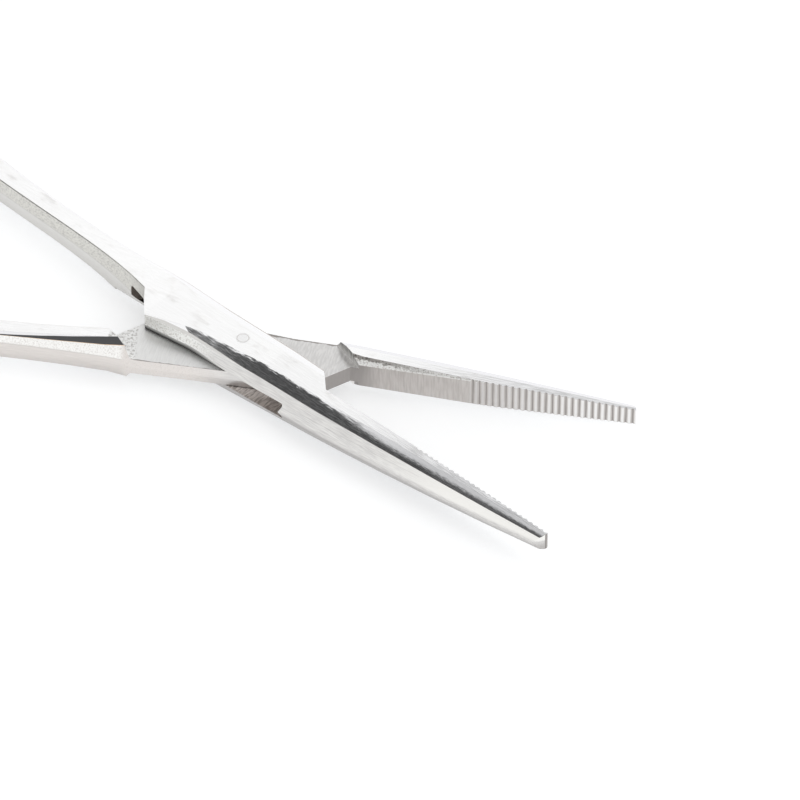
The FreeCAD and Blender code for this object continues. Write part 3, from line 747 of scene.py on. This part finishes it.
def tongue_zone(finish, x, y, z, normal):
    """The milled tongue with its end walls, and the rough bevels of the grip face.

    The fillet in the recess's rear corner is told by its place ahead of the rear wall
    and by its normals, which have no part along that wall.
    """
    lean = np.abs(normal[:, 2])
    height = np.abs(z)
    tongue = (height < MIDDLE_LAYER) & (lean > 0.9) & (np.abs(x) < LOCK_REACH)
    wall = (lean < 0.3) & (np.abs(normal[:, 0] * normal[:, 1]) > 0.3) & (np.abs(x) < LOCK_REACH)
    finish[tongue | wall] = MILLED
    forward, aside = REAR_WALL_NORMAL
    ahead = x * forward + y * aside + REAR_WALL_BACK
    sideways = normal[:, 1] * forward - normal[:, 0] * aside
    fillet = (np.abs(ahead) < FILLET_SPAN) & (np.abs(sideways) < 0.1)
    fillet &= (height > TONGUE_HALF - 0.01) & (height < FLAT_HEIGHT)
    finish[fillet] = MILLED
    finish[wall & (x > FRONT_WALL) & (z > TONGUE_HALF)] = STEP
    finish[wall & (x > FRONT_WALL) & (z < TONGUE_HALF)] = GRIP
    ground = (x > GRIP_ROOT) & (lean < 0.93) & (lean > 0.7)
    finish[ground & (normal[:, 1] > 0) & (y > GRIP_SIDE)] = CHIPPED
    return finish


def tongue_bevel():
    """The tongue half's bevels. On the shank the dark part tapers to a thread behind the lock.

    The thread's lower edge is an orange painted highlight where the bevel meets the rough side.
    """
    material, tree, shader = new_material("tongue_bevel")
    along, _, _ = arm_axes(tree)
    streak = grain(tree, STREAK, marks=5)
    run = attribute(tree, "bevel_run", "Fac")
    rolled = use_group(tree, ROLLED_EDGE, Run=run, Along=along, Streak=streak,
                       Fine=grain(tree, STREAK, marks=13))["Flatness"]
    taper = ease(tree, along, -34, -13, low=0.96, high=0.04)
    taper = ease(tree, reckon(tree, "SUBTRACT", taper, run), -0.02, 0.05)
    behind = reckon(tree, "LESS_THAN", along, -11)
    flat = blend(tree, behind, rolled, taper, "FLOAT")
    # Painted highlight: an orange line along the bevel's foot behind the lock.
    warm_painted_highlight = reckon(tree, "MULTIPLY", ease(tree, run, 0.93, 0.96), behind)
    colour = blend(tree, warm_painted_highlight, (0.9, 0.9, 0.92, 1), (0.95, 0.72, 0.52, 1))
    flat = reckon(tree, "MAXIMUM", flat, warm_painted_highlight)
    normal = use_group(tree, LAID_FLAT, Normal=rounded_edges(tree, EDGE_RADIUS), Flatness=flat)
    finish_steel(tree, shader, colour, 0.15, streak, depth=2e-6, normal=normal["Normal"])
    return material


tongue_half = clean_copy("tongue_half", "tongue_half_skin")
fillet_recess(tongue_half, -1)
# The same steel as the box side: its lighter shank and duller lock tones are painted light and
# painted shade.
tongue_side_painted_light = tumbled_side("tongue_side_painted_light", shank=((0.8, 0.78, 0.75), (1.0, 0.99, 0.97)),
                           lock=((0.74, 0.7, 0.67), (0.8, 0.76, 0.73)),
                           lower=(0.8, 0.76, 0.73), crease=0.8, heel_shade=0.0)
finish_arm(tongue_half, "tongue_half", "tongue_arm", -1, tongue_zone,
           [tongue_bevel(), tongue_side_painted_light])

# The rivet: a steel pin pressed through both plates and ground flush with them, so
# that only a faint ring shows where it ends.

RING_MARK_RADIUS = 0.66


def peened_head():
    """The rivet's ground end, which only a thin grey ring tells from the plate."""
    material, tree, shader = new_material("peened_head")
    along, across, _ = arm_axes(tree)
    brush = ease(tree, grain(tree, BRUSH, marks=9), 0.3, 0.7)
    radius = reckon(tree, "SQRT", reckon(tree, "ADD", reckon(tree, "MULTIPLY", along, along),
                                         reckon(tree, "MULTIPLY", across, across)))
    beside = reckon(tree, "ABSOLUTE", reckon(tree, "SUBTRACT", radius, RING_MARK_RADIUS))
    ring = ease(tree, beside, 0.1, 0.02)
    clean = blend(tree, brush, (0.9, 0.9, 0.9, 1), (0.97, 0.97, 0.97, 1))
    colour = blend(tree, reckon(tree, "MULTIPLY", ring, 0.5), clean, (0.6, 0.57, 0.55, 1))
    finish_steel(tree, shader, colour, 0.2, brush, depth=1.5e-6,
                 normal=rounded_edges(tree, EDGE_RADIUS / 2))
    return material


rivet = clean_copy("pivot_pin", "rivet_skin")
rivet.data.materials.append(peened_head())
write_places(rivet, 1)
rivet.data.shade_smooth()
rivet.data.set_sharp_from_angle(angle=math.radians(30))
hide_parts("pivot_pin")
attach(rivet, "box_arm")

# The stage: a white table top and the white room round it, with a dark opening
# overhead that the tilted bevels mirror. The camera stands where the photograph's did.

FLOOR_HALF = 3.0
FLOOR_DROP = 0.02 * MM
SHADOW_REACH = 3.5 * MM
floor_mesh = bpy.data.meshes.new("table_top")
floor_mesh.from_pydata([(-FLOOR_HALF, -FLOOR_HALF, 0), (FLOOR_HALF, -FLOOR_HALF, 0),
                        (FLOOR_HALF, FLOOR_HALF, 0), (-FLOOR_HALF, FLOOR_HALF, 0)],
                       [], [(0, 1, 2, 3)])
floor = bpy.data.objects.new("table_top", floor_mesh)
floor.location.z = -FLOOR_DROP
bpy.context.scene.collection.objects.link(floor)
paper, tree, shader = new_material("white_paper", metal=0.0)
shader.inputs["Base Color"].default_value = (0.53, 0.54, 0.55, 1)
shader.inputs["Roughness"].default_value = 0.9
shader.inputs["Specular IOR Level"].default_value = 0.1
seen = tree.nodes.new("ShaderNodeLightPath")
either = reckon(tree, "MAXIMUM", seen.outputs["Is Camera Ray"], seen.outputs["Is Glossy Ray"])
shader.inputs["Emission Color"].default_value = (1, 1, 1, 1)
# The paper shines less near the steel, which draws the contact shadow under it.
near = tree.nodes.new("ShaderNodeAmbientOcclusion")
near.samples = 4
near.inputs["Distance"].default_value = SHADOW_REACH
lift = ease(tree, near.outputs["AO"], 0.2, 0.9, low=0.48, high=0.68)
fill(tree, shader.inputs["Emission Strength"], reckon(tree, "MULTIPLY", either, lift))
floor_mesh.materials.append(paper)

world = bpy.data.worlds.new("white_room")
world.use_nodes = True
bpy.context.scene.world = world
tree = world.node_tree
sky = tree.nodes["Background"]
place = tree.nodes.new("ShaderNodeTexCoord")
toward = tree.nodes.new("ShaderNodeVectorMath")
toward.operation = "DOT_PRODUCT"
# The opening is darkest within the inner angle and fades out to the outer one.
OPENING = Vector((-0.34, 0.0, 0.94)).normalized()
OPENING_OUTER = math.radians(41)
OPENING_INNER = math.radians(24)
toward.inputs[1].default_value = OPENING
tree.links.new(place.outputs["Generated"], toward.inputs[0])
dark = ease(tree, toward.outputs["Value"], math.cos(OPENING_OUTER), math.cos(OPENING_INNER),
            low=1.0, high=0.09)
seen = tree.nodes.new("ShaderNodeLightPath")
fill(tree, sky.inputs["Strength"], blend(tree, seen.outputs["Is Camera Ray"], dark, 1.0, "FLOAT"))
sky.inputs["Color"].default_value = (1, 1, 1, 1)

ELEVATION = math.radians(42.0)
BISECTOR = math.radians(27.2)
RIGHT = Vector((math.cos(BISECTOR), math.sin(BISECTOR), 0))
AWAY = Vector((-math.sin(BISECTOR), math.cos(BISECTOR), 0))
LOOK = AWAY * math.cos(ELEVATION) - Vector((0, 0, 1)) * math.sin(ELEVATION)
UP = RIGHT.cross(LOOK)
CAMERA_RIGHT, CAMERA_DOWN, CAMERA_BACK = 17.44 * MM, 6.89 * MM, 599.7 * MM
camera_data = bpy.data.cameras.new("camera")
camera_data.sensor_width = 36.0
camera_data.lens = 243.0
camera_data.clip_start = 0.01
camera = bpy.data.objects.new("camera", camera_data)
bpy.context.scene.collection.objects.link(camera)
rivet_top = Vector((0, 0, 2 * MID_HEIGHT))
stand = rivet_top + CAMERA_RIGHT * RIGHT - CAMERA_DOWN * UP - CAMERA_BACK * LOOK
camera.matrix_world = Matrix.Translation(stand) @ Matrix((RIGHT, UP, -LOOK)).transposed().to_4x4()
bpy.context.scene.camera = camera

bpy.context.scene.view_settings.view_transform = "Standard"
